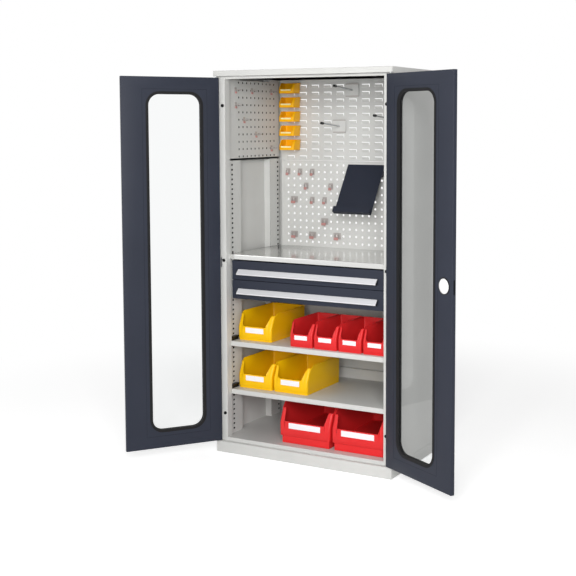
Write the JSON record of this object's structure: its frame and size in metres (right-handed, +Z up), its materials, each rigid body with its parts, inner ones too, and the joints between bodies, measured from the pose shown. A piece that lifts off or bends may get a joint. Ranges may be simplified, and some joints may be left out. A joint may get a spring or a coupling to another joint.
{
  "type": "tool cabinet with doors",
  "caption": "Tall sheet-metal tool cabinet with two windowed doors, drawers, shelves, perforated and louvred tool walls and pull-out storage bins.",
  "frame": {"origin": "on the floor, under the middle of the cabinet's plinth", "axes": "+Z up, +Y towards the back wall, +X to the right as seen from the front"},
  "size_m": [1.6985, 0.9902, 1.95],
  "materials": {
    "carcass_paint": "light grey fine-texture powder coat",
    "front_paint": "anthracite grey fine-texture powder coat",
    "tray_paint": "grey powder coat",
    "worktop_steel": "satin steel sheet",
    "zinc_steel": "bright zinc plate",
    "spring_steel": "nickel-plated spring steel",
    "handle_aluminium": "natural anodised extrusion",
    "black_rubber": "matt black rubber",
    "clear_pane": "clear acrylic sheet",
    "black_plastic": "matt black moulding",
    "bush_plastic": "natural acetal",
    "white_plastic": "white moulding",
    "yellow_plastic": "semi-gloss yellow polypropylene",
    "red_plastic": "semi-gloss red polypropylene"
  },
  "bodies": {
    "cabinet": {"top_cap": "carcass_paint", "header_rail": "carcass_paint", "plinth": "carcass_paint", "floor_panel": "carcass_paint", "side_wall_left": "carcass_paint", "side_wall_right": "carcass_paint", "rear_wall_lower": "carcass_paint", "rear_cross_rail": "carcass_paint", "perforated_panel": "carcass_paint", "louvre_panel": "carcass_paint", "side_panel_left": "carcass_paint", "side_panel_right": "carcass_paint", "slotted_posts": "carcass_paint", "worktop": "worktop_steel", "drawer_case": "carcass_paint", "case_runners": "zinc_steel", "shelf_upper": "carcass_paint", "shelf_lower": "carcass_paint", "shelf_clips": "black_plastic", "pivot_pins": "zinc_steel", "door_buffers": "black_rubber", "document_shelf": "front_paint", "tool_hooks": "zinc_steel", "hook_tips": "black_plastic", "tool_clips": "spring_steel"},
    "door_left": {"door_left_shell": "front_paint", "door_left_liner": "front_paint", "door_left_pane": "clear_pane", "door_left_gasket": "black_rubber", "door_left_bushes": "bush_plastic"},
    "door_right": {"door_right_shell": "front_paint", "door_right_liner": "front_paint", "door_right_pane": "clear_pane", "door_right_gasket": "black_rubber", "door_right_bushes": "bush_plastic", "lock_case": "zinc_steel", "lock_cover": "white_plastic"},
    "lock_handle": {"turn_handle": "black_plastic"},
    "rod_upper": {"lock_rod_upper": "zinc_steel"},
    "rod_lower": {"lock_rod_lower": "zinc_steel"},
    "drawer_upper": {"drawer_upper_front": "front_paint", "drawer_upper_tray": "tray_paint", "drawer_upper_handle": "handle_aluminium"},
    "drawer_lower": {"drawer_lower_front": "front_paint", "drawer_lower_tray": "tray_paint", "drawer_lower_handle": "handle_aluminium"},
    "bin_medium_1": {"bin_medium_1": "yellow_plastic"},
    "bin_medium_2": {"bin_medium_2": "yellow_plastic"},
    "bin_medium_3": {"bin_medium_3": "yellow_plastic"},
    "bin_narrow_1": {"bin_narrow_1": "red_plastic"},
    "bin_narrow_2": {"bin_narrow_2": "red_plastic"},
    "bin_narrow_3": {"bin_narrow_3": "red_plastic"},
    "bin_narrow_4": {"bin_narrow_4": "red_plastic"},
    "bin_large_1": {"bin_large_1": "red_plastic"},
    "bin_large_2": {"bin_large_2": "red_plastic"},
    "bin_small_1": {"bin_small_1": "yellow_plastic"},
    "bin_small_2": {"bin_small_2": "yellow_plastic"},
    "bin_small_3": {"bin_small_3": "yellow_plastic"},
    "bin_small_4": {"bin_small_4": "yellow_plastic"},
    "bin_small_5": {"bin_small_5": "yellow_plastic"}
  },
  "joints": [
    {"name": "door_left_swing", "type": "hinge", "parent": "cabinet", "child": "door_left", "pos_m": [-0.487, -0.294, 0.988], "axis": [0, 0, -1], "range_deg": [-127, 53]},
    {"name": "door_right_swing", "type": "hinge", "parent": "cabinet", "child": "door_right", "pos_m": [0.487, -0.294, 0.988], "axis": [0, 0, 1], "range_deg": [-151, 29]},
    {"name": "handle_turn", "type": "hinge", "parent": "door_right", "child": "lock_handle", "pos_m": [0.86381, -0.49601, 0.98], "axis": [0.4848, 0.8746, 0], "range_deg": [-90, 0]},
    {"name": "rod_upper_slide", "type": "slide", "parent": "door_right", "child": "rod_upper", "axis": [0, 0, 1], "range_m": [0, 0.01414]},
    {"name": "rod_lower_slide", "type": "slide", "parent": "door_right", "child": "rod_lower", "axis": [0, 0, -1], "range_m": [0, 0.01414]},
    {"name": "drawer_upper_slide", "type": "slide", "parent": "cabinet", "child": "drawer_upper", "axis": [0, -1, 0], "range_m": [0, 0.37]},
    {"name": "drawer_lower_slide", "type": "slide", "parent": "cabinet", "child": "drawer_lower", "axis": [0, -1, 0], "range_m": [0, 0.37]},
    {"name": "bin_medium_1_pull", "type": "slide", "parent": "cabinet", "child": "bin_medium_1", "axis": [0, -1, 0], "range_m": [0, 0.2]},
    {"name": "bin_medium_2_pull", "type": "slide", "parent": "cabinet", "child": "bin_medium_2", "axis": [0, -1, 0], "range_m": [0, 0.2]},
    {"name": "bin_medium_3_pull", "type": "slide", "parent": "cabinet", "child": "bin_medium_3", "axis": [0, -1, 0], "range_m": [0, 0.2]},
    {"name": "bin_narrow_1_pull", "type": "slide", "parent": "cabinet", "child": "bin_narrow_1", "axis": [0, -1, 0], "range_m": [0, 0.2]},
    {"name": "bin_narrow_2_pull", "type": "slide", "parent": "cabinet", "child": "bin_narrow_2", "axis": [0, -1, 0], "range_m": [0, 0.2]},
    {"name": "bin_narrow_3_pull", "type": "slide", "parent": "cabinet", "child": "bin_narrow_3", "axis": [0, -1, 0], "range_m": [0, 0.2]},
    {"name": "bin_narrow_4_pull", "type": "slide", "parent": "cabinet", "child": "bin_narrow_4", "axis": [0, -1, 0], "range_m": [0, 0.2]},
    {"name": "bin_large_1_pull", "type": "slide", "parent": "cabinet", "child": "bin_large_1", "axis": [0, -1, 0], "range_m": [0, 0.3]},
    {"name": "bin_large_2_pull", "type": "slide", "parent": "cabinet", "child": "bin_large_2", "axis": [0, -1, 0], "range_m": [0, 0.3]},
    {"name": "bin_small_1_lift", "type": "slide", "parent": "cabinet", "child": "bin_small_1", "axis": [0, 0, 1], "range_m": [0, 0.012]},
    {"name": "bin_small_2_lift", "type": "slide", "parent": "cabinet", "child": "bin_small_2", "axis": [0, 0, 1], "range_m": [0, 0.012]},
    {"name": "bin_small_3_lift", "type": "slide", "parent": "cabinet", "child": "bin_small_3", "axis": [0, 0, 1], "range_m": [0, 0.012]},
    {"name": "bin_small_4_lift", "type": "slide", "parent": "cabinet", "child": "bin_small_4", "axis": [0, 0, 1], "range_m": [0, 0.012]},
    {"name": "bin_small_5_lift", "type": "slide", "parent": "cabinet", "child": "bin_small_5", "axis": [0, 0, 1], "range_m": [0, 0.012]}
  ],
  "couplings": [
    {"joint": "handle_turn", "follows": "rod_upper_slide", "rad_per_m": -111.07},
    {"joint": "rod_lower_slide", "follows": "rod_upper_slide", "ratio": 1}
  ]
}
